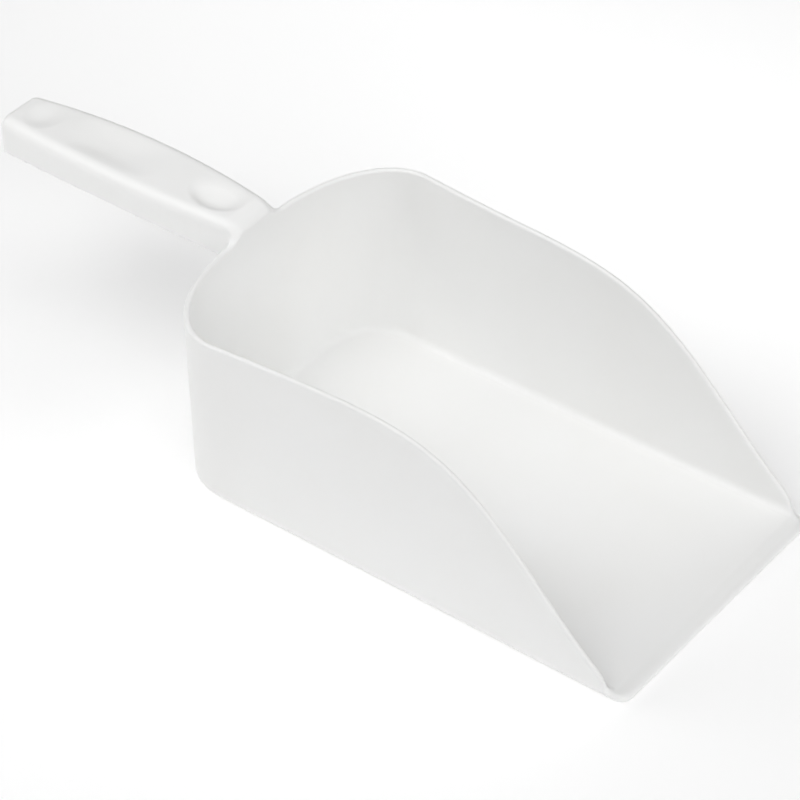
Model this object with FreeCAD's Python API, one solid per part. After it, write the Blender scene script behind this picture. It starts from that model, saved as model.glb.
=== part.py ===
import FreeCAD, Part
import math
import os

# Feed scoop: a thin-walled plastic bowl with a channel handle, millimetres.
# +X points out of the bowl's mouth, +Z up, and XZ is the plane of symmetry.
# The origin is under the middle of the whole scoop, on the surface it stands on.

# Overall
LENGTH = 340.0
LIP_X = LENGTH / 2
HANDLE_END_X = -LENGTH / 2

# Bowl plan at the floor and at the rim; the walls are straight between the two
RIM_Z = 81.5
REAR_X_FLOOR = -44.5
REAR_X_RIM = -49.3
FLOOR_HALF_WIDTH_REAR = 61.4
FLOOR_HALF_WIDTH_LIP = 63.1
RIM_HALF_WIDTH_REAR = 71.4
RIM_HALF_WIDTH_MIDDLE = 63.2
RIM_HALF_WIDTH_LIP = 66.1
CORNER_FLOOR = (23.7, 27.0)
CORNER_RIM = (34.4, 59.2)

# Bowl thickness and edges
WALL = 2.4
FLOOR = 3.2
FLOOR_EDGE_RADIUS = 4.5
INNER_EDGE_RADIUS = 3.0
LIP_CORNER_RADIUS = 8.0
LIP_HALF_WIDTH = 63.5
LIP_EDGE_RADIUS = 0.8
RIM_EDGE_RADIUS = 0.8

# Side view of the rim: level to the first point, then falling to the lip
RIM_FALL = [(38.0, RIM_Z), (70.0, 79.0), (96.0, 69.3), (122.0, 47.9), (146.0, 22.9), (LIP_X, 3.9)]

# Handle: half width, top height and lower-edge height at the bowl, middle and end
HANDLE_HALF_WIDTHS = (12.1, 16.4, 11.7)
HANDLE_TOPS = (87.7, 89.4, 87.9)
HANDLE_BOTTOMS = (71.3, 75.6, 72.0)
HANDLE_TOP_RADIUS = 4.5
HANDLE_SIDE_DRAFT = 0.5
HANDLE_WALL = 2.6
HANDLE_TOP_THICKNESS = 3.4
HANDLE_END_WALL = 2.8
HANDLE_END_RADIUS = 2.5
SECTIONS = 7
SPLIT_X = -55.0
CHANNEL_START_X = -51.8

# Hollows in the handle's top: centre x, half length, half width, depth
THUMB_HOLLOW = (-66.0, 11.5, 8.5, 1.8)
GRIP_HOLLOW = (-121.0, 24.0, 9.0, 1.5)
END_HOLLOW = (-156.3, 6.5, 6.0, 1.2)

# Cross ribs inside the handle
RIB_XS = (-146.0, -124.0, -102.0, -80.0)
RIB_THICKNESS = 1.8
RIB_SETBACK = 2.5

# Points along each side of an outline and round each corner
SIDE_STEPS = 12
CORNER_STEPS = 10

# How far cutting shapes run past the scoop, and the slack when edges are picked by place
REACH = 30.0
CUT_WIDTH = 240.0
CUT_HEIGHT = 180.0
SLACK = 0.1
MARGIN = 1.0


def vec(x, y, z):
    return FreeCAD.Vector(x, y, z)


def blend(low, high, k):
    return low + (high - low) * k


def through_three(first, middle, last, s):
    """A parabola through values at s = 0, 0.5 and 1."""
    return first * (1 - s) * (1 - 2 * s) + 4 * middle * s * (1 - s) + last * s * (2 * s - 1)


def side_half_width(x, k):
    """Half width of the bowl's outside at x, for k = 0 at the floor and 1 at the rim."""
    s = (x - REAR_X_RIM) / (LIP_X - REAR_X_RIM)
    floor = blend(FLOOR_HALF_WIDTH_REAR, FLOOR_HALF_WIDTH_LIP, s)
    rim = through_three(RIM_HALF_WIDTH_REAR, RIM_HALF_WIDTH_MIDDLE, RIM_HALF_WIDTH_LIP, s)
    return blend(floor, rim, k)


def half_outline(k, front_x):
    """Points of the outside from the mouth back to the middle of the rear wall, on the +Y side.

    They crowd towards the corner, where the outline's curvature changes quickly.
    """
    rear_x = blend(REAR_X_FLOOR, REAR_X_RIM, k)
    corner_x = blend(CORNER_FLOOR[0], CORNER_RIM[0], k)
    corner_y = blend(CORNER_FLOOR[1], CORNER_RIM[1], k)
    points = []
    for i in range(SIDE_STEPS):
        crowding = 1 - (1 - i / SIDE_STEPS) ** 2
        x = blend(front_x, rear_x + corner_x, crowding)
        points.append((x, side_half_width(x, k)))
    for i in range(CORNER_STEPS + 1):
        angle = math.pi / 2 * i / CORNER_STEPS
        x = rear_x + corner_x * (1 - math.sin(angle))
        points.append((x, side_half_width(x, k) - corner_y * (1 - math.cos(angle))))
    points.append((rear_x, points[-1][1] / 2))
    points.append((rear_x, 0.0))
    return points


def inset(points, distance):
    """Points moved square to the outline towards the inside of the bowl."""
    moved = []
    for i, (x, y) in enumerate(points):
        before = points[max(i - 1, 0)]
        after = points[min(i + 1, len(points) - 1)]
        dx = after[0] - before[0]
        dy = after[1] - before[1]
        if y == 0.0:
            dx = 0.0
        size = math.hypot(dx, dy)
        moved.append((x - distance * dy / size, y + distance * dx / size))
    return moved


def chord_parameters(front_x):
    """Running lengths along the outline half way up, so that every outline is paced alike."""
    half = half_outline(0.5, front_x)
    whole = half + [(x, -y) for x, y in reversed(half[:-1])]
    total = [0.0]
    for a, b in zip(whole, whole[1:]):
        total.append(total[-1] + math.dist(a, b))
    return total


def outline_wire(z, distance, front_x):
    """The bowl's closed plan outline at height z, inset by distance."""
    half = inset(half_outline(z / RIM_Z, front_x), distance)
    mirrored = [(x, -y) for x, y in reversed(half[:-1])]
    points = [vec(x, y, z) for x, y in half + mirrored]
    curve = Part.BSplineCurve()
    curve.interpolate(Points=points, Parameters=chord_parameters(front_x))
    return Part.Wire([curve.toShape(), Part.makeLine(points[-1], points[0])])


def bowl_block(bottom_z, distance, front_x):
    """The bowl's tapered volume from bottom_z to above the handle."""
    wires = [outline_wire(z, distance, front_x) for z in (bottom_z, RIM_Z + REACH)]
    return Part.makeLoft(wires, True, True)


def above_rim():
    """Everything above the rim's side-view curve."""
    points = [vec(x, -CUT_WIDTH / 2, z) for x, z in RIM_FALL]
    curve = Part.BSplineCurve()
    last = points[-1] - points[-2]
    curve.interpolate(Points=points, InitialTangent=vec(REACH, 0, 0), FinalTangent=last)
    rear = vec(HANDLE_END_X, -CUT_WIDTH / 2, RIM_Z)
    front = vec(LIP_X + REACH, -CUT_WIDTH / 2, points[-1].z)
    up = vec(0, 0, CUT_HEIGHT)
    corners = [points[-1], front, front + up, rear + up, rear, points[0]]
    edges = [Part.makeLine(a, b) for a, b in zip(corners, corners[1:])]
    face = Part.Face(Part.Wire([curve.toShape()] + edges))
    return face.extrude(vec(0, CUT_WIDTH, 0))


def lip_trim():
    """A slab whose front end is the lip, with its corners rounded in plan."""
    centre_x = LIP_X - LIP_CORNER_RADIUS
    centre_y = LIP_HALF_WIDTH - LIP_CORNER_RADIUS
    block = Part.makeBox(LENGTH, CUT_WIDTH, CUT_HEIGHT, vec(LIP_X - LENGTH, -CUT_WIDTH / 2, -MARGIN))
    for side in (1, -1):
        low_y = centre_y if side > 0 else -centre_y - REACH
        waste = Part.makeBox(LIP_CORNER_RADIUS, REACH, CUT_HEIGHT, vec(centre_x, low_y, -MARGIN))
        round_post = Part.makeCylinder(LIP_CORNER_RADIUS, CUT_HEIGHT, vec(centre_x, side * centre_y, -MARGIN))
        block = block.cut(waste.cut(round_post))
    return block


def edges_inside(shape, low, high):
    """The shape's edges that lie wholly between two corners."""
    chosen = []
    for edge in shape.Edges:
        b = edge.BoundBox
        above = b.XMin > low[0] and b.YMin > low[1] and b.ZMin > low[2]
        below = b.XMax < high[0] and b.YMax < high[1] and b.ZMax < high[2]
        if above and below:
            chosen.append(edge)
    return chosen


def round_floor_edge(block, z, radius):
    """Rounds the block's lower edge round both sides and the rear."""
    level = edges_inside(block, (-LENGTH, -LENGTH, z - MARGIN), (LENGTH, LENGTH, z + MARGIN))
    return block.makeFillet(radius, [e for e in level if e.BoundBox.XMin < 0])


def handle_section(x, inset_by, top_drop, bottom_drop):
    """The handle's cross-section at x: drafted sides and rounded top corners."""
    s = (x - REAR_X_RIM) / (HANDLE_END_X - REAR_X_RIM)
    half = through_three(*HANDLE_HALF_WIDTHS, s) - inset_by
    top = through_three(*HANDLE_TOPS, s) - top_drop
    bottom = through_three(*HANDLE_BOTTOMS, s) - bottom_drop
    shoulder = half - HANDLE_SIDE_DRAFT
    radius = HANDLE_TOP_RADIUS - inset_by / 2
    offset = radius * (1 - math.sqrt(0.5))
    left = [
        (-half, bottom),
        (-shoulder, top - radius),
        (-shoulder + offset, top - offset),
        (-shoulder + radius, top),
    ]
    points = [vec(x, y, z) for y, z in left]
    points += [vec(x, -y, z) for y, z in reversed(left)]
    return Part.Wire([
        Part.makeLine(points[0], points[1]),
        Part.Arc(points[1], points[2], points[3]).toShape(),
        Part.makeLine(points[3], points[4]),
        Part.Arc(points[4], points[5], points[6]).toShape(),
        Part.makeLine(points[6], points[7]),
        Part.makeLine(points[7], points[0]),
    ])


def handle_block(start_x, end_x, inset_by, top_drop, bottom_drop):
    """The handle's outside, or its hollow, between two places along X."""
    sections = []
    for i in range(SECTIONS):
        x = blend(start_x, end_x, i / (SECTIONS - 1))
        sections.append(handle_section(x, inset_by, top_drop, bottom_drop))
    return Part.makeLoft(sections, True, False)


def handle_outside():
    block = handle_block(REAR_X_RIM + REACH / 3, HANDLE_END_X, 0.0, 0.0, 0.0)
    low = (HANDLE_END_X - MARGIN, -REACH, HANDLE_BOTTOMS[2] - MARGIN)
    high = (HANDLE_END_X + MARGIN, REACH, CUT_HEIGHT)
    above_lower_edge = [e for e in edges_inside(block, low, high) if e.BoundBox.ZMax > low[2] + 2 * MARGIN]
    return block.makeFillet(HANDLE_END_RADIUS, above_lower_edge)


def handle_channel():
    """The open space under the handle."""
    end_x = HANDLE_END_X + HANDLE_END_WALL
    return handle_block(CHANNEL_START_X, end_x, HANDLE_WALL, HANDLE_TOP_THICKNESS, REACH / 3)


def top_hollow(centre_x, half_length, half_width, depth):
    """An ellipsoid that sinks a shallow hollow into the handle's top."""
    s = (centre_x - REAR_X_RIM) / (HANDLE_END_X - REAR_X_RIM)
    top = through_three(*HANDLE_TOPS, s)
    spread = math.sqrt(1 - (1 - depth / half_width) ** 2)
    matrix = FreeCAD.Matrix()
    matrix.scale(half_length / spread, half_width / spread, half_width)
    matrix.move(vec(centre_x, 0, top + half_width - depth))
    return Part.makeSphere(1.0).transformGeometry(matrix)


def bowl_with_handle():
    """Bowl and handle before their upper edges are rounded."""
    outside = round_floor_edge(bowl_block(0.0, 0.0, LIP_X + REACH), 0.0, FLOOR_EDGE_RADIUS)
    inside = round_floor_edge(bowl_block(FLOOR, WALL, LIP_X + REACH * 2), FLOOR, INNER_EDGE_RADIUS)
    body = outside.cut(above_rim()).fuse(handle_outside())
    return body.cut(inside).common(lip_trim())


def round_lip(body):
    low = (LIP_X - LIP_CORNER_RADIUS / 2, -LIP_HALF_WIDTH, FLOOR - SLACK)
    high = (LIP_X + MARGIN, LIP_HALF_WIDTH, FLOOR + SLACK)
    return body.makeFillet(LIP_EDGE_RADIUS, edges_inside(body, low, high))


def round_rim(body):
    """Rounds both edges of the rim along the sides and round the rear corners."""
    low = (REAR_X_RIM - MARGIN, -LENGTH, FLOOR)
    high = (LIP_X, LENGTH, RIM_Z + SLACK)
    long_edges = [e for e in edges_inside(body, low, high) if e.BoundBox.XLength > REACH]
    return body.makeFillet(RIM_EDGE_RADIUS, [e for e in long_edges if e.BoundBox.ZMax > RIM_Z - SLACK])


def ribs(channel):
    """Cross ribs that fill the channel's section and stop short of its lower edge."""
    solids = []
    for x in RIB_XS:
        s = (x - REAR_X_RIM) / (HANDLE_END_X - REAR_X_RIM)
        low = vec(x - RIB_THICKNESS / 2, -REACH, through_three(*HANDLE_BOTTOMS, s) + RIB_SETBACK)
        solids.append(channel.common(Part.makeBox(RIB_THICKNESS, REACH * 2, REACH, low)).Solids[0])
    return Part.makeCompound(solids)


def main():
    channel = handle_channel()
    body = round_rim(round_lip(bowl_with_handle()))
    hollows = [top_hollow(*sizes) for sizes in (THUMB_HOLLOW, GRIP_HOLLOW, END_HOLLOW)]
    body = body.cut(hollows + [channel])
    behind = Part.makeBox(LENGTH, LENGTH, LENGTH, vec(SPLIT_X - LENGTH, -LENGTH / 2, -LENGTH / 2))
    nodes = {"bowl": body.cut(behind), "handle": body.common(behind), "handle_ribs": ribs(channel)}
    os.makedirs("parts", exist_ok=True)
    for name, shape in nodes.items():
        shape.exportStep(f"parts/{name}.step")


main()
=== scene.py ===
"""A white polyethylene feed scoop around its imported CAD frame.

The moulding's surface is one distance field in millimetres, so that the bowl, the handle and the
blend between them are a single smooth skin. The skin is meshed in even quads and cut at the joint
face between the CAD nodes bowl and handle, and each half replaces its own node.
"""

import itertools
import math

import bmesh
import bpy
import numpy as np
from mathutils import Matrix, Vector


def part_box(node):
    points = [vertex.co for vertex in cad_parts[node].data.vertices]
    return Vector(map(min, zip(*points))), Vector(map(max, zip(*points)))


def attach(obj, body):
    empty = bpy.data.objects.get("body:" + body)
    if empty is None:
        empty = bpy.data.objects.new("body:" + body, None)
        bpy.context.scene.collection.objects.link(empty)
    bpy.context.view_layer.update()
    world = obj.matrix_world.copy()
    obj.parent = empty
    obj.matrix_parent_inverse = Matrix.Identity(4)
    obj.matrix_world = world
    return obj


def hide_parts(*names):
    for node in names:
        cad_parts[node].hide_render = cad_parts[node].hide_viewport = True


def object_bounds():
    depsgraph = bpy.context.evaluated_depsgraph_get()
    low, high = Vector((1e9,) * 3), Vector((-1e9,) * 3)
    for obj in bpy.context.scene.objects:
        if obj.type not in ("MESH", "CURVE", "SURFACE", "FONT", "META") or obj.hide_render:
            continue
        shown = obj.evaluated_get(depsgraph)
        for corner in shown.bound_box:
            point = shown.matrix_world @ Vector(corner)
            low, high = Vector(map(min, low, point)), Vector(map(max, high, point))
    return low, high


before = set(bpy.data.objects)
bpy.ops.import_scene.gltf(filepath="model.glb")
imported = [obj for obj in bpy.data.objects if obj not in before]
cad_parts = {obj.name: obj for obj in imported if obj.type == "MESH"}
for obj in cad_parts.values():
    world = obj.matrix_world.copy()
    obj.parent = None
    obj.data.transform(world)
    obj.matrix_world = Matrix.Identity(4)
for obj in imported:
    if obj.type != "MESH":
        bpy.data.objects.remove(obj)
CAD_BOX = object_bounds()
MM = 0.001


def in_mm(corner):
    return np.array(corner) / MM


# Places that the frame gives, in millimetres
BOWL_LOW, BOWL_HIGH = (in_mm(corner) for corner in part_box("bowl"))
HANDLE_LOW, HANDLE_HIGH = (in_mm(corner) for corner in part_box("handle"))
LIP_X = BOWL_HIGH[0]
HANDLE_END_X = HANDLE_LOW[0]
SPLIT_X = HANDLE_HIGH[0]

# Bowl plan at the floor and at the rim
RIM_Z = 81.5
REAR_X = (-44.5, -49.3)
CORNER_ALONG = (23.7, 34.4)
CORNER_ACROSS = (27.0, 59.2)
FLOOR_HALF_WIDTHS = (61.4, 62.25, 63.1)
RIM_HALF_WIDTHS = (71.4, 63.2, 66.1)
RIM_FALL = [(38.0, RIM_Z), (70.0, 79.0), (96.0, 69.3), (122.0, 47.9), (146.0, 22.9), (170.0, 3.9)]

# Bowl thickness and edges
WALL = 2.4
FLOOR = 3.2
FLOOR_EDGE_RADIUS = 4.5
INNER_EDGE_RADIUS = 3.0
RIM_EDGE_RADIUS = 1.1
LIP_CORNER_RADIUS = 8.0
LIP_HALF_WIDTH = 63.5
LIP_NOSE_RADIUS = 2.6
LIP_BEAD = 0.15
WALL_END_X = 164.5
WALL_END_RADIUS = 8.0
WALL_END_FILLET = 2.0
LIP_UNDER_RADIUS = 0.7

# Handle at the bowl, its middle and its end
HANDLE_HALF_WIDTHS = (12.1, 16.4, 11.7)
HANDLE_TOPS = (87.7, 89.4, 87.9)
HANDLE_BOTTOMS = (71.3, 75.6, 72.0)
HANDLE_DRAFT = 0.5
HANDLE_TOP_RADII = (4.2, 5.0)
HANDLE_END_RADIUS = 3.0
HANDLE_LOWER_RADIUS = 0.7
HANDLE_WALL = 2.6
HANDLE_ROOF = 3.4
HANDLE_END_WALL = 2.8
HANDLE_FRONT_X = -39.3
ROOT_RADIUS = 4.0
ROOT_EDGE_RADIUS = 8.0
CHANNEL_START_X = -51.8
CHANNEL_RADIUS = 1.5

# Dishes in the handle's top. Squareness 2 is an ellipse in plan and more is squarer; flatness 2 is a
# parabola in section and more is flatter; deeper_rear and deeper_near lean the floor down towards -X, -Y.
HOLLOWS = [
    dict(centre_x=-66.8, half_length=11.0, half_width=8.2, depth=1.9, squareness=2.0, flatness=2.5,
         deeper_rear=-0.2, deeper_near=0.6, edge_radius=0.8),
    dict(centre_x=-117.5, half_length=19.0, half_width=9.3, depth=1.4, squareness=3.5, flatness=2.3,
         deeper_rear=0.1, deeper_near=0.2, edge_radius=1.0),
    dict(centre_x=-155.5, half_length=6.5, half_width=7.5, depth=1.0, squareness=2.0, flatness=2.0,
         deeper_rear=0.1, deeper_near=0.4, edge_radius=0.8),
]
LEAN_LIMITS = (0.2, 1.8)

# Distance field: the smallest divisor, and the share of a corner's size past which it counts as rounded
TINY = 1e-6
ROUNDED_FROM = 0.5

# Meshing: grid step, room left round the object, and reach of a probe for slopes
STEP = 0.8
MARGIN = 2.6
PROBE = 0.02
CELL_MIDDLE = 0.5
CELL_CORNERS = 8
SETTLE_ROUNDS = 4
RELAX_ROUNDS = 6
RELAX_SHARE = 0.5
# Points this near the joint face are moved onto it
SNAP = 0.3

# Plastic
PLASTIC_TINTS = ((0.925, 0.925, 0.914, 1), (0.940, 0.942, 0.937, 1))
PLASTIC_ROUGHNESS = (0.40, 0.50)
PLASTIC_IOR = 1.51
GRAIN_STRENGTH = 0.08
GRAIN_DEPTH = 0.0002

# Noise as (features per metre, detail), and the part of its output that is spread out
CLOUD_NOISE = (18.0, 3.0)
GLOSS_NOISE = (45.0, 4.0)
GRAIN_NOISE = (1400.0, 2.0)
FLOOR_NOISE = (3.0, 2.0)
NOISE_SPREAD = (0.3, 0.7)

# Floor, whose painted glow grows from the first to the second Y in metres; the extra glow behind the
# scoop lifts the scoop's cast shadow
FLOOR_HALF_SIZE = 1.5
FLOOR_TINTS = ((0.90, 0.90, 0.90, 1), (0.92, 0.92, 0.92, 1))
FLOOR_ROUGHNESS = 0.9
FLOOR_SPECULAR = 0.1
FLOOR_GLOW_FROM = (0.06, 0.26)
FLOOR_GLOW = (0.22, 0.36)

# Surround past the floor's edge
BACKDROP_RADIUS = 8.0
BACKDROP_SUBDIVISIONS = 3
BACKDROP_BRIGHTNESS = 0.92

WHITE = (1, 1, 1, 1)
BLACK = (0, 0, 0, 1)

# Camera
CAMERA_AZIMUTH = math.radians(37.57)
CAMERA_ELEVATION = math.radians(39.50)
CAMERA_ROLL = math.radians(-0.46)
CAMERA_DISTANCE = 1.3956
CAMERA_AIM = Vector((0.02568, -0.00505, 0.035))
CAMERA_LENS = 164.1
CAMERA_SENSOR = 36.0
CAMERA_CLIP_START = 0.01

# Round softboxes: aim, azimuth and elevation in degrees, distance and diameter in metres, watts
BACK_OF_BOWL = Vector((-0.02, 0.0, 0.05))
SOFTBOXES = {
    "left": (CAMERA_AIM, -70.0, 25.0, 2.0, 1.2, 9.2),
    "front_high": (CAMERA_AIM, -20.0, 55.0, 2.0, 1.2, 10.6),
    "right_front": (CAMERA_AIM, 60.0, 25.0, 2.0, 1.2, 11.1),
    "right": (CAMERA_AIM, 95.0, 30.0, 2.0, 1.2, 9.1),
    "right_rear": (CAMERA_AIM, 130.0, 25.0, 2.0, 1.2, 2.2),
    "near_top": (BACK_OF_BOWL, 0.0, 85.0, 0.6, 0.4, 0.65),
    "near_left": (BACK_OF_BOWL, -60.0, 50.0, 0.6, 0.4, 0.45),
    "near_rear": (BACK_OF_BOWL, 180.0, 60.0, 0.6, 0.4, 0.45),
}
WORLD_STRENGTH = 0.0


# ---------------------------------------------------------------- distance field

def blend(pair, k):
    return pair[0] + (pair[1] - pair[0]) * k


def through_three(values, s):
    """A parabola through three values at s = 0, 0.5 and 1."""
    first, middle, last = values
    return first * (1 - s) * (1 - 2 * s) + 4 * middle * s * (1 - s) + last * s * (2 * s - 1)


def both(a, b, radius):
    """The space inside both shapes, its meeting edge rounded."""
    arc = np.hypot(np.maximum(radius + a, 0), np.maximum(radius + b, 0))
    return np.minimum(-radius, np.maximum(a, b)) + arc


def either(a, b, radius):
    """The space inside either shape, its meeting corner filled with a fillet."""
    return -both(-a, -b, radius)


def outline(x, y, z):
    """Distance outside the bowl's plan outline at height z."""
    k = z / RIM_Z
    along_size = blend(CORNER_ALONG, k)
    across_size = blend(CORNER_ACROSS, k)
    s = (x - REAR_X[1]) / (LIP_X - REAR_X[1])
    side = blend((through_three(FLOOR_HALF_WIDTHS, s), through_three(RIM_HALF_WIDTHS, s)), k)
    along = (blend(REAR_X, k) + along_size - x) / along_size
    across = (np.abs(y) - side) / across_size + 1
    reach = np.hypot(np.maximum(along, 0), np.maximum(across, 0))
    slope = np.hypot(np.maximum(along, 0) / along_size, np.maximum(across, 0) / across_size)
    rounded = (reach - 1) * reach / np.maximum(slope, TINY)
    deep = np.maximum((along - 1) * along_size, (across - 1) * across_size)
    return np.where(reach > ROUNDED_FROM, rounded, deep)


def rim_curve():
    """Coefficients of the rim's fall as powers 2 and up of the distance past its level part."""
    start = RIM_FALL[0][0]
    run = np.array([(x - start) / (LIP_X - start) for x, _ in RIM_FALL[1:]])
    fall = np.array([RIM_Z - z for _, z in RIM_FALL[1:]])
    powers = np.arange(2, 2 + len(run))
    return np.linalg.solve(run[:, None] ** powers, fall), powers


RIM_COEFFICIENTS, RIM_POWERS = rim_curve()


def above_rim(x, z):
    """Distance above the side walls' edge, which drops to a low bead just behind the lip."""
    start = RIM_FALL[0][0]
    run = np.maximum((x - start) / (LIP_X - start), 0)
    terms = list(zip(RIM_COEFFICIENTS, RIM_POWERS))
    height = RIM_Z - sum(c * run ** p for c, p in terms)
    slope = sum(c * p * run ** (p - 1) for c, p in terms) / (LIP_X - start)
    above_curve = (z - height) / np.hypot(1, slope)
    above_wall = both(above_curve, x - WALL_END_X, WALL_END_RADIUS)
    return either(above_wall, z - FLOOR - LIP_BEAD, WALL_END_FILLET)


def handle_sizes(x):
    s = (x - REAR_X[1]) / (HANDLE_END_X - REAR_X[1])
    return [through_three(values, s) for values in (HANDLE_HALF_WIDTHS, HANDLE_TOPS, HANDLE_BOTTOMS)]


def handle_shape(x, y, z):
    half, top, bottom = handle_sizes(x)
    side = np.abs(y) - half + HANDLE_DRAFT * (z - bottom) / (top - bottom)
    top_radius = blend(HANDLE_TOP_RADII, (x - REAR_X[1]) / (HANDLE_END_X - REAR_X[1]))
    crown = both(side, z - top, top_radius)
    closed = both(crown, HANDLE_END_X - x, HANDLE_END_RADIUS)
    return both(np.maximum(closed, x - HANDLE_FRONT_X), bottom - z, HANDLE_LOWER_RADIUS)


def channel_shape(x, y, z):
    half, top, _ = handle_sizes(x)
    section = both(np.abs(y) - half + HANDLE_WALL, z - top + HANDLE_ROOF, CHANNEL_RADIUS)
    ends = np.maximum(x - CHANNEL_START_X, HANDLE_END_X + HANDLE_END_WALL - x)
    return both(section, ends, CHANNEL_RADIUS)


def hollow_shape(x, y, z, sizes):
    """Distance under a dish in the handle's top; the dish rises out of the top round its outline."""
    along = (x - sizes["centre_x"]) / sizes["half_length"]
    across = y / sizes["half_width"]
    power = sizes["squareness"]
    reach = np.maximum((np.abs(along) ** power + np.abs(across) ** power) ** (1 / power), TINY)
    lean = np.clip(1 - sizes["deeper_rear"] * along - sizes["deeper_near"] * across, *LEAN_LIMITS)
    depth = sizes["depth"] * lean
    floor = handle_sizes(x)[1] - depth * (1 - reach ** sizes["flatness"])
    fall = depth * sizes["flatness"] * reach ** (sizes["flatness"] - 1) / sizes["half_width"]
    return (floor - z) / np.hypot(1, fall)


def scoop(x, y, z):
    """Distance outside the moulding's skin."""
    wall = outline(x, y, z)
    rim = above_rim(x, z)
    handle = handle_shape(x, y, z)
    past_corner = np.maximum(LIP_X - LIP_CORNER_RADIUS - x, 0)
    lip = both(x - LIP_X, np.abs(y) - LIP_HALF_WIDTH - past_corner, LIP_CORNER_RADIUS)
    root_share = np.clip((z - RIM_Z) / (HANDLE_TOPS[0] - RIM_Z), 0, 1)
    inner_radius = blend((RIM_EDGE_RADIUS, ROOT_EDGE_RADIUS), root_share)

    outside = both(both(wall, -z, FLOOR_EDGE_RADIUS), rim, RIM_EDGE_RADIUS)
    outside = both(either(outside, handle, ROOT_RADIUS), lip, LIP_UNDER_RADIUS)
    cavity = both(wall + WALL, FLOOR - z, INNER_EDGE_RADIUS)
    inside = both(-cavity, either(rim, handle, ROOT_RADIUS), inner_radius)
    skin = np.maximum(outside, both(inside, lip, LIP_NOSE_RADIUS))

    skin = both(skin, -channel_shape(x, y, z), HANDLE_LOWER_RADIUS)
    for sizes in HOLLOWS:
        skin = both(skin, -hollow_shape(x, y, z, sizes), sizes["edge_radius"])
    return skin


# ---------------------------------------------------------------- meshing

def gradient(points):
    parts = []
    for axis in range(3):
        shift = np.zeros(3)
        shift[axis] = PROBE
        parts.append((scoop(*(points + shift).T) - scoop(*(points - shift).T)) / (2 * PROBE))
    return np.stack(parts, axis=1)


def settled(points, rounds):
    """The points moved square to the skin until they lie on it."""
    for _ in range(rounds):
        slope = gradient(points)
        points = points - (scoop(*points.T) / np.sum(slope ** 2, axis=1))[:, None] * slope
    return points


def normals_at(points):
    slope = gradient(points)
    return slope / np.linalg.norm(slope, axis=1)[:, None]


def skin_quads():
    """Surface nets: one vertex in each grid cell that the skin crosses, one quad round each grid edge."""
    low = np.minimum(BOWL_LOW, HANDLE_LOW) - MARGIN
    high = np.maximum(BOWL_HIGH, HANDLE_HIGH) + MARGIN
    axes = [np.arange(a, b, STEP) for a, b in zip(low, high)]
    inside = scoop(*np.meshgrid(*axes, indexing="ij", sparse=True)) < 0
    cells = [n - 1 for n in inside.shape]
    count = np.zeros(cells, np.uint8)
    for i, j, k in itertools.product((0, 1), repeat=3):
        count += inside[i:i + cells[0], j:j + cells[1], k:k + cells[2]]
    crossed = (count > 0) & (count < CELL_CORNERS)
    number = np.full(cells, -1)
    number[crossed] = np.arange(np.count_nonzero(crossed))
    points = low + (np.argwhere(crossed) + CELL_MIDDLE) * STEP

    quads = []
    for axis in range(3):
        across = [(axis + 1) % 3, (axis + 2) % 3]
        start = np.take(inside, range(cells[axis]), axis)
        end = np.take(inside, range(1, cells[axis] + 1), axis)
        edges = np.argwhere(start != end)
        corners = []
        for shift in ((-1, -1), (0, -1), (0, 0), (-1, 0)):
            cell = edges.copy()
            cell[:, across] += shift
            corners.append(number[tuple(cell.T)])
        quad = np.stack(corners, axis=1)
        outward = start[tuple(edges.T)]
        quads.append(np.where(outward[:, None], quad, quad[:, ::-1]))
    return points, np.concatenate(quads)


def relaxed(points, quads):
    """Evens out the quads: each point slides along the skin towards the middle of its neighbours."""
    ends = np.concatenate([quads.ravel(), np.roll(quads, 1, axis=1).ravel()])
    others = np.concatenate([np.roll(quads, 1, axis=1).ravel(), quads.ravel()])
    neighbours = np.bincount(ends, minlength=len(points))[:, None]
    for _ in range(RELAX_ROUNDS):
        sums = [np.bincount(ends, points[others, axis], len(points)) for axis in range(3)]
        move = np.stack(sums, axis=1) / neighbours - points
        normals = normals_at(points)
        move -= np.sum(move * normals, axis=1)[:, None] * normals
        points = settled(points + RELAX_SHARE * move, 1)
    return points


def make_skin():
    points, quads = skin_quads()
    points = relaxed(settled(points, SETTLE_ROUNDS), quads)
    near = np.abs(points[:, 0] - SPLIT_X) < SNAP
    points[near, 0] = SPLIT_X
    return points, quads


def cut_piece(name, skin, keep_side):
    """The part of the skin on one side of the joint face, closed with a flat face there."""
    points, quads = skin
    whole = bpy.data.meshes.new(name)
    whole.from_pydata((points * MM).tolist(), [], quads.tolist())
    whole.polygons.foreach_set("use_smooth", np.ones(len(quads), bool))
    bm = bmesh.new()
    bm.from_mesh(whole)
    bmesh.ops.bisect_plane(
        bm,
        geom=bm.verts[:] + bm.edges[:] + bm.faces[:],
        dist=PROBE * MM,
        plane_co=(SPLIT_X * MM, 0, 0),
        plane_no=(-keep_side, 0, 0),
        clear_outer=True,
    )
    rim_of_cut = [e for e in bm.edges if e.is_boundary]
    filled = bmesh.ops.triangle_fill(bm, edges=rim_of_cut, use_beauty=True)["geom"]
    for face in (f for f in filled if isinstance(f, bmesh.types.BMFace)):
        face.smooth = False
        face.normal_update()
        if face.normal.x * keep_side > 0:
            face.normal_flip()
    bm.to_mesh(whole)
    bm.free()
    set_normals(whole, keep_side)
    return bpy.data.objects.new(name, whole)


def read(collection, attribute, kind, width=1):
    values = np.zeros(len(collection) * width, kind)
    collection.foreach_get(attribute, values)
    return values


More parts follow.
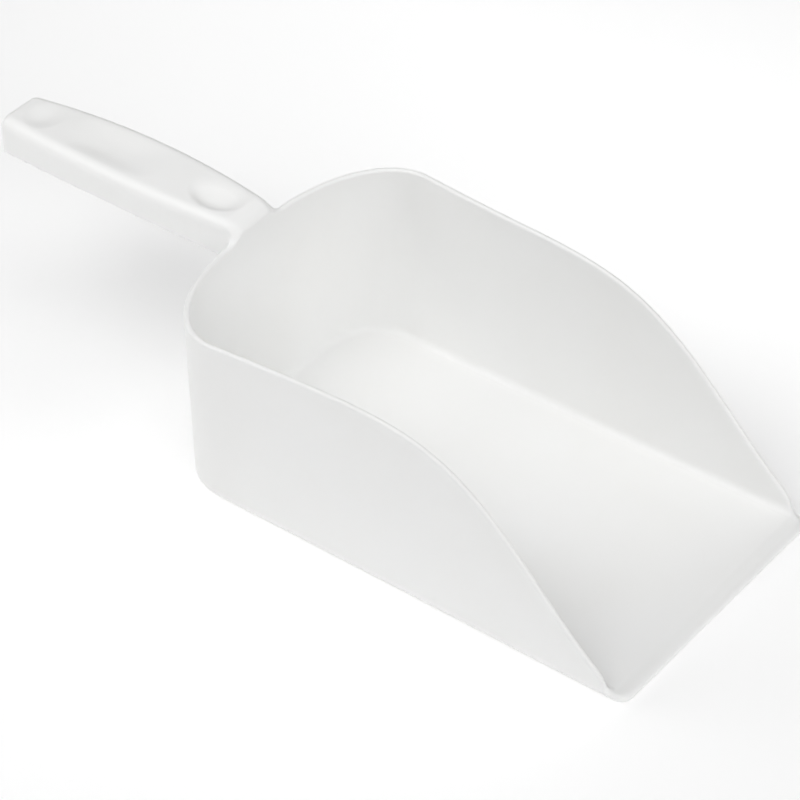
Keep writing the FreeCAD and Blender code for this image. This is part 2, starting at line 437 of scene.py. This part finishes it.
def set_normals(mesh, keep_side):
    """Exact normals on the skin, and a flat joint face."""
    places = read(mesh.vertices, "co", np.float32, 3).reshape(-1, 3).astype(float)
    corner_normals = normals_at(places / MM)[read(mesh.loops, "vertex_index", np.int32)]
    corners = read(mesh.polygons, "loop_total", np.int32)
    on_skin = np.repeat(read(mesh.polygons, "use_smooth", bool), corners)
    corner_normals[~on_skin] = (-keep_side, 0, 0)
    mesh.normals_split_custom_set(corner_normals.tolist())


# ---------------------------------------------------------------- materials

def new_material(name):
    material = bpy.data.materials.new(name)
    material.use_nodes = True
    tree = material.node_tree
    return material, tree, tree.nodes["Principled BSDF"]


def object_noise(tree, scale, detail):
    place = tree.nodes.new("ShaderNodeTexCoord")
    noise = tree.nodes.new("ShaderNodeTexNoise")
    noise.inputs["Scale"].default_value = scale
    noise.inputs["Detail"].default_value = detail
    tree.links.new(place.outputs["Object"], noise.inputs["Vector"])
    return noise.outputs["Fac"]


def ranged(tree, source, taken, given):
    """The source's taken range spread over the given one, and held at its ends."""
    spread = tree.nodes.new("ShaderNodeMapRange")
    for name, value in zip(("From Min", "From Max", "To Min", "To Max"), taken + given):
        spread.inputs[name].default_value = value
    tree.links.new(source, spread.inputs["Value"])
    return spread.outputs["Result"]


def tinted(tree, shader, source, tints):
    """A base colour that runs from the first tint to the second as the source goes from 0 to 1."""
    tint = tree.nodes.new("ShaderNodeMix")
    tint.data_type = "RGBA"
    for name, colour in zip("AB", tints):
        tint.inputs[name].default_value = colour
    tree.links.new(source, tint.inputs["Factor"])
    tree.links.new(tint.outputs["Result"], shader.inputs["Base Color"])


def plastic_material():
    """Satin white polyethylene: faint cloudiness, a fine moulded grain and uneven gloss."""
    material, tree, shader = new_material("white_polyethylene")
    cloud = object_noise(tree, *CLOUD_NOISE)
    tinted(tree, shader, ranged(tree, cloud, NOISE_SPREAD, (0, 1)), PLASTIC_TINTS)

    gloss = object_noise(tree, *GLOSS_NOISE)
    roughness = ranged(tree, gloss, NOISE_SPREAD, PLASTIC_ROUGHNESS)
    tree.links.new(roughness, shader.inputs["Roughness"])

    bump = tree.nodes.new("ShaderNodeBump")
    bump.inputs["Strength"].default_value = GRAIN_STRENGTH
    bump.inputs["Distance"].default_value = GRAIN_DEPTH
    tree.links.new(object_noise(tree, *GRAIN_NOISE), bump.inputs["Height"])
    tree.links.new(bump.outputs["Normal"], shader.inputs["Normal"])

    shader.inputs["IOR"].default_value = PLASTIC_IOR
    return material


def floor_material():
    """A matt pale floor that glows faintly, and a little more behind the scoop, where the painted glow
    lifts the scoop's cast shadow.
    """
    material, tree, shader = new_material("pale_floor")
    tinted(tree, shader, object_noise(tree, *FLOOR_NOISE), FLOOR_TINTS)
    shader.inputs["Roughness"].default_value = FLOOR_ROUGHNESS
    shader.inputs["Specular IOR Level"].default_value = FLOOR_SPECULAR
    shader.inputs["Emission Color"].default_value = WHITE

    place = tree.nodes.new("ShaderNodeTexCoord")
    axes = tree.nodes.new("ShaderNodeSeparateXYZ")
    tree.links.new(place.outputs["Object"], axes.inputs["Vector"])
    # Painted light: the emission rises towards +Y, behind the scoop, to brighten its cast shadow
    glow = ranged(tree, axes.outputs["Y"], FLOOR_GLOW_FROM, FLOOR_GLOW)
    tree.links.new(glow, shader.inputs["Emission Strength"])
    return material


def backdrop_material():
    material, _, shader = new_material("pale_backdrop")
    shader.inputs["Base Color"].default_value = BLACK
    shader.inputs["Specular IOR Level"].default_value = 0.0
    shader.inputs["Emission Color"].default_value = WHITE
    shader.inputs["Emission Strength"].default_value = BACKDROP_BRIGHTNESS
    return material


# ---------------------------------------------------------------- object

def link(obj):
    bpy.context.scene.collection.objects.link(obj)
    return obj


def build_scoop():
    plastic = plastic_material()
    skin = make_skin()
    for node, keep_side in (("bowl", 1), ("handle", -1)):
        piece = link(cut_piece(node + "_skin", skin, keep_side))
        piece.data.materials.append(plastic)
        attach(piece, "root")
        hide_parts(node)
    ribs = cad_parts["handle_ribs"]
    ribs.data.materials.clear()
    ribs.data.materials.append(plastic)


# ---------------------------------------------------------------- camera, floor and light

def direction_to(azimuth, elevation):
    level = math.cos(elevation)
    return Vector((math.sin(azimuth) * level, -math.cos(azimuth) * level, math.sin(elevation)))


def build_camera():
    camera = link(bpy.data.objects.new("camera", bpy.data.cameras.new("camera")))
    back = direction_to(CAMERA_AZIMUTH, CAMERA_ELEVATION)
    right = (-back).cross(Vector((0, 0, 1))).normalized()
    turn = Matrix.Rotation(CAMERA_ROLL, 3, back)
    right = turn @ right
    up = back.cross(right)
    place = Matrix.Translation(CAMERA_AIM + back * CAMERA_DISTANCE)
    camera.matrix_world = place @ Matrix((right, up, back)).transposed().to_4x4()
    camera.data.lens = CAMERA_LENS
    camera.data.sensor_width = CAMERA_SENSOR
    camera.data.clip_start = CAMERA_CLIP_START
    bpy.context.scene.camera = camera


def build_floor():
    mesh = bpy.data.meshes.new("floor")
    signs = ((-1, -1), (1, -1), (1, 1), (-1, 1))
    corners = [(x * FLOOR_HALF_SIZE, y * FLOOR_HALF_SIZE, 0) for x, y in signs]
    mesh.from_pydata(corners, [], [list(range(len(corners)))])
    floor = link(bpy.data.objects.new("floor", mesh))
    floor.location.z = CAD_BOX[0].z
    mesh.materials.append(floor_material())


def build_backdrop():
    """A pale surround past the floor's edge, which only the camera sees."""
    mesh = bpy.data.meshes.new("backdrop")
    bm = bmesh.new()
    bmesh.ops.create_icosphere(bm, subdivisions=BACKDROP_SUBDIVISIONS, radius=BACKDROP_RADIUS)
    bm.to_mesh(mesh)
    bm.free()
    backdrop = link(bpy.data.objects.new("backdrop", mesh))
    mesh.materials.append(backdrop_material())
    backdrop.visible_diffuse = False
    backdrop.visible_glossy = False
    backdrop.visible_transmission = False
    backdrop.visible_shadow = False


def build_softbox(name, aim, azimuth, elevation, distance, diameter, power):
    light = bpy.data.lights.new(name, "AREA")
    light.shape = "DISK"
    light.size = diameter
    light.energy = power
    lamp = link(bpy.data.objects.new(name, light))
    towards = direction_to(math.radians(azimuth), math.radians(elevation))
    lamp.location = aim + towards * distance
    lamp.rotation_mode = "QUATERNION"
    lamp.rotation_quaternion = towards.to_track_quat("Z", "Y")


def build_light():
    world = bpy.data.worlds.new("studio")
    world.use_nodes = True
    world.node_tree.nodes["Background"].inputs["Strength"].default_value = WORLD_STRENGTH
    bpy.context.scene.world = world
    for name, placing in SOFTBOXES.items():
        build_softbox(name, *placing)
    bpy.context.scene.view_settings.view_transform = "Standard"


build_scoop()
build_camera()
build_floor()
build_backdrop()
build_light()
